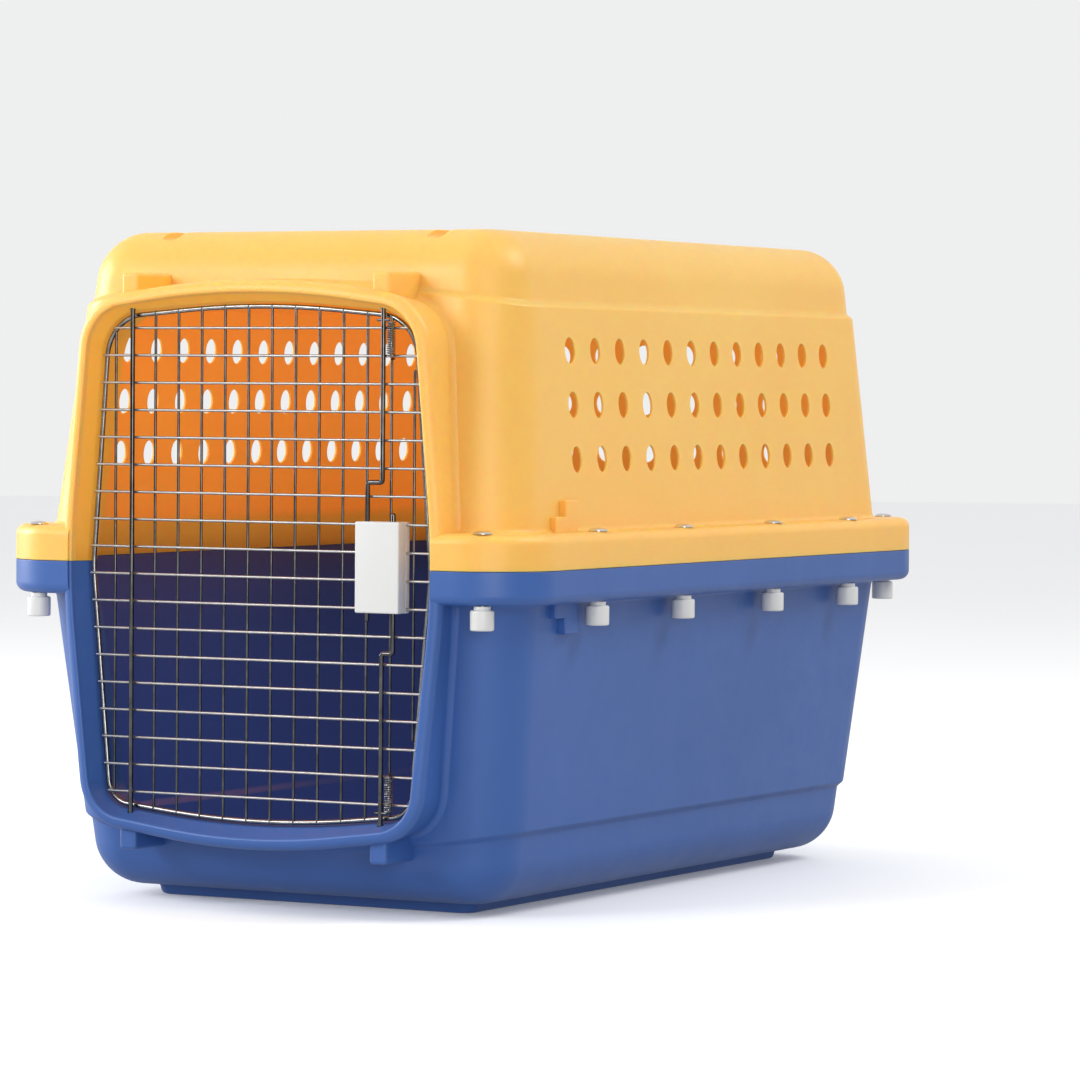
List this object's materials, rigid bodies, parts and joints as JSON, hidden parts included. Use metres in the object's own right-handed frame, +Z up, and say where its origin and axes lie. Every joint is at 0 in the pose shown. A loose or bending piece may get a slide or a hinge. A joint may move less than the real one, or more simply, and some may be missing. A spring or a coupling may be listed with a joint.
{
  "type": "pet transport carrier",
  "caption": "Two moulded plastic shells bolted at a wide flange form a vented box for an animal, with a hinged wire door held by two sprung latch rods.",
  "frame": {"origin": "centre of the base's footprint, on the floor", "axes": "+X to the right seen from the door side, +Y from the door to the back, +Z up"},
  "size_m": [0.536, 0.836, 0.59],
  "materials": {
    "yellow_plastic": "satin moulded, slightly translucent",
    "blue_plastic": "satin moulded",
    "white_plastic": "smooth moulded",
    "chromed_wire": "bright plated wire",
    "bolt_steel": "zinc plated"
  },
  "bodies": {
    "carrier": {"upper_shell": "yellow_plastic", "lower_shell": "blue_plastic", "bolt_01": "bolt_steel", "bolt_02": "bolt_steel", "bolt_03": "bolt_steel", "bolt_04": "bolt_steel", "bolt_05": "bolt_steel", "bolt_06": "bolt_steel", "bolt_07": "bolt_steel", "bolt_08": "bolt_steel", "bolt_09": "bolt_steel", "bolt_10": "bolt_steel", "bolt_11": "bolt_steel", "bolt_12": "bolt_steel", "nut_01": "white_plastic", "nut_02": "white_plastic", "nut_03": "white_plastic", "nut_04": "white_plastic", "nut_05": "white_plastic", "nut_06": "white_plastic", "nut_07": "white_plastic", "nut_08": "white_plastic", "nut_09": "white_plastic", "nut_10": "white_plastic", "nut_11": "white_plastic", "nut_12": "white_plastic"},
    "door": {"door_grille": "chromed_wire", "hinge_rod": "chromed_wire", "latch_housing_front": "white_plastic", "latch_housing_back": "white_plastic", "upper_spring": "chromed_wire", "lower_spring": "chromed_wire", "upper_spring_guide": "chromed_wire", "lower_spring_guide": "chromed_wire", "vertical_wire_01": "chromed_wire", "vertical_wire_02": "chromed_wire", "vertical_wire_03": "chromed_wire", "vertical_wire_04": "chromed_wire", "vertical_wire_05": "chromed_wire", "vertical_wire_06": "chromed_wire", "vertical_wire_07": "chromed_wire", "vertical_wire_08": "chromed_wire", "vertical_wire_09": "chromed_wire", "vertical_wire_10": "chromed_wire", "vertical_wire_11": "chromed_wire", "vertical_wire_12": "chromed_wire", "vertical_wire_13": "chromed_wire"},
    "upper_latch": {"upper_latch_rod": "chromed_wire"},
    "lower_latch": {"lower_latch_rod": "chromed_wire"}
  },
  "joints": [
    {"name": "door_hinge", "type": "hinge", "parent": "carrier", "child": "door", "pos_m": [-0.1265, -0.4016, 0.3], "axis": [0, 0, -1], "range_deg": [0, 135]},
    {"name": "upper_rod_slide", "type": "slide", "parent": "door", "child": "upper_latch", "axis": [0, 0, -1], "range_m": [0, 0.018], "stiffness_N_per_m": 300, "springref_m": -0.01, "deforming": ["upper_spring"]},
    {"name": "lower_rod_slide", "type": "slide", "parent": "door", "child": "lower_latch", "axis": [0, 0, 1], "range_m": [0, 0.018], "stiffness_N_per_m": 300, "springref_m": -0.01, "deforming": ["lower_spring"]}
  ]
}
